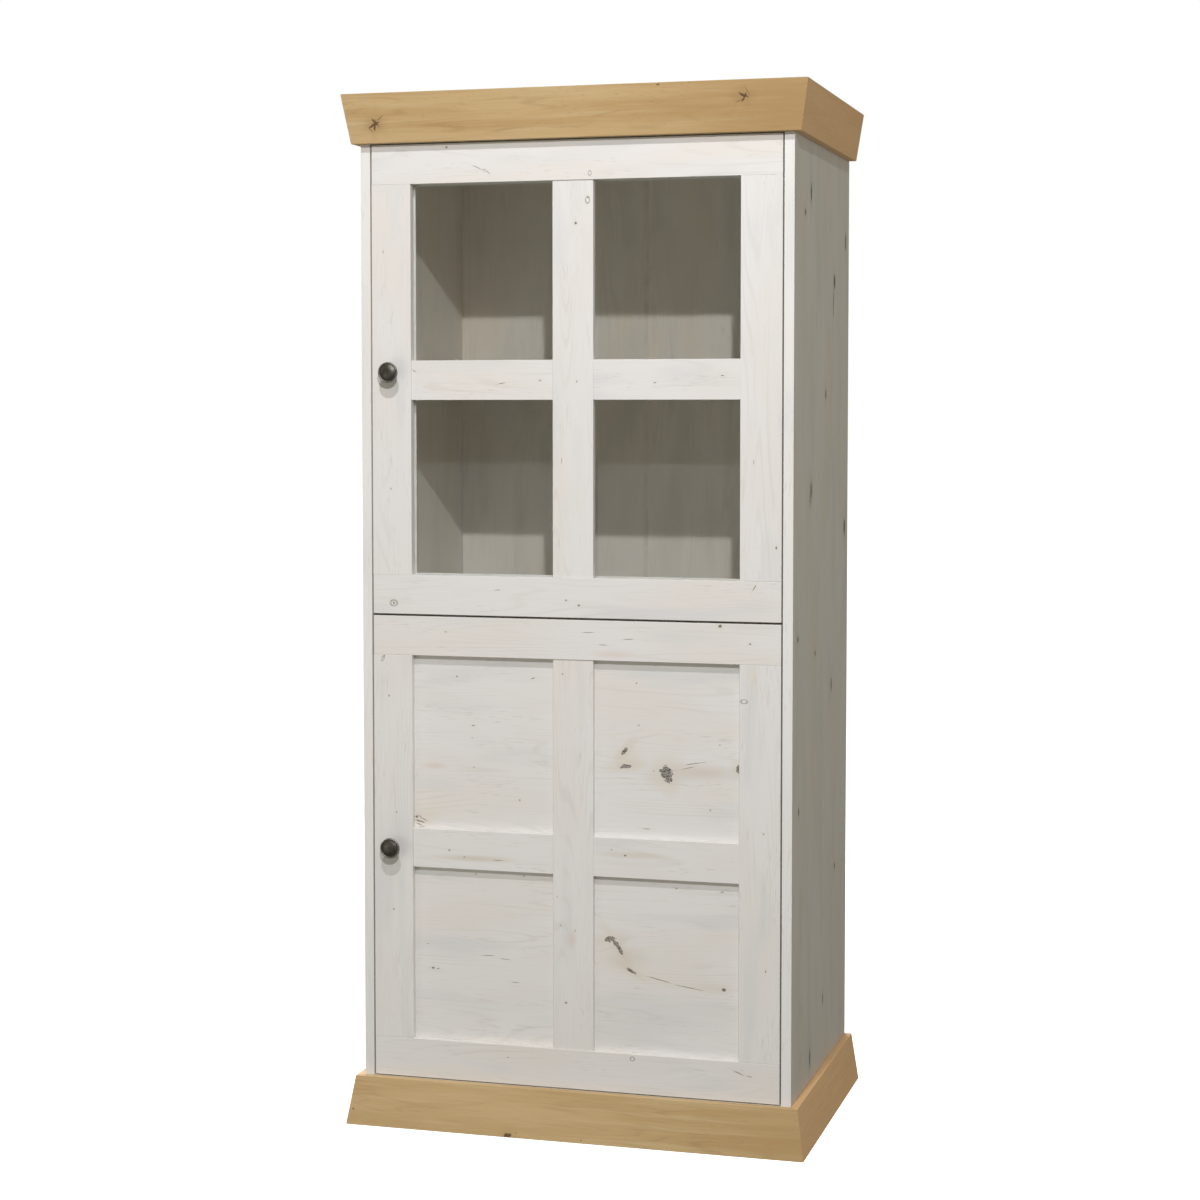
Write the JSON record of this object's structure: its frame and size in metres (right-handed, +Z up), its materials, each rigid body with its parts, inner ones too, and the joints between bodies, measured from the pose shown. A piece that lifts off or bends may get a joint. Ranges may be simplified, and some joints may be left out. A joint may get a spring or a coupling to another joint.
{
  "type": "pantry cabinet",
  "caption": "Tall free-standing pantry cabinet: white wood-grain body, glazed door over a panelled door, inner shelves, slanted oak cornice and plinth.",
  "frame": {"origin": "on the floor, at the centre of the outline seen from above", "axes": "+Z up, the longest dimension; +X to the right of a person facing the doors; -Y towards that person"},
  "size_m": [0.91, 0.6, 2],
  "materials": {
    "pine_foil": "whitewashed pine decor, matt",
    "rail_board": "raw board, matt",
    "oak_foil": "natural oak decor, matt",
    "back_board": "whitewashed pine decor on thin board",
    "clear_glass": "clear float glass",
    "pewter": "antiqued dark pewter",
    "steel": "nickel-plated",
    "white_plastic": "matt"
  },
  "bodies": {
    "root": {"back_joint_strip": "white_plastic", "back_sheet_left": "back_board", "back_sheet_right": "back_board", "bottom_panel": "pine_foil", "cornice_batten_front": "rail_board", "cornice_batten_left": "rail_board", "cornice_batten_rear": "rail_board", "cornice_batten_right": "rail_board", "cornice_front": "oak_foil", "cornice_left": "oak_foil", "cornice_right": "oak_foil", "left_side_panel": "pine_foil", "lower_door_hinge_arm_lower": "steel", "lower_door_hinge_arm_upper": "steel", "lower_shelf": "pine_foil", "lower_shelf_pin_left_front": "steel", "lower_shelf_pin_left_rear": "steel", "lower_shelf_pin_right_front": "steel", "lower_shelf_pin_right_rear": "steel", "middle_panel": "pine_foil", "plinth_front": "oak_foil", "plinth_left": "oak_foil", "plinth_rail_front": "rail_board", "plinth_rail_rear": "rail_board", "plinth_right": "oak_foil", "right_side_panel": "pine_foil", "top_panel": "pine_foil", "upper_door_hinge_arm_lower": "steel", "upper_door_hinge_arm_upper": "steel", "upper_shelf": "pine_foil", "upper_shelf_pin_left_front": "steel", "upper_shelf_pin_left_rear": "steel", "upper_shelf_pin_right_front": "steel", "upper_shelf_pin_right_rear": "steel"},
    "upper_door": {"upper_door_bottom_rail": "pine_foil", "upper_door_glass": "clear_glass", "upper_door_glazing_bead": "white_plastic", "upper_door_hinge_cup_lower": "steel", "upper_door_hinge_cup_upper": "steel", "upper_door_knob": "pewter", "upper_door_knob_screw": "steel", "upper_door_left_bar": "pine_foil", "upper_door_left_stile": "pine_foil", "upper_door_mullion": "pine_foil", "upper_door_right_bar": "pine_foil", "upper_door_right_stile": "pine_foil", "upper_door_top_rail": "pine_foil"},
    "lower_door": {"lower_door_bottom_rail": "pine_foil", "lower_door_hinge_cup_lower": "steel", "lower_door_hinge_cup_upper": "steel", "lower_door_knob": "pewter", "lower_door_knob_screw": "steel", "lower_door_left_bar": "pine_foil", "lower_door_left_stile": "pine_foil", "lower_door_mullion": "pine_foil", "lower_door_panel": "pine_foil", "lower_door_right_bar": "pine_foil", "lower_door_right_stile": "pine_foil", "lower_door_top_rail": "pine_foil"}
  },
  "joints": [
    {"name": "upper_door_hinge", "type": "hinge", "parent": "root", "child": "upper_door", "pos_m": [0.4045, -0.27, 1.453], "axis": [0, 0, 1], "range_deg": [0, 105]},
    {"name": "lower_door_hinge", "type": "hinge", "parent": "root", "child": "lower_door", "pos_m": [0.4045, -0.27, 0.547], "axis": [0, 0, 1], "range_deg": [0, 105]}
  ]
}
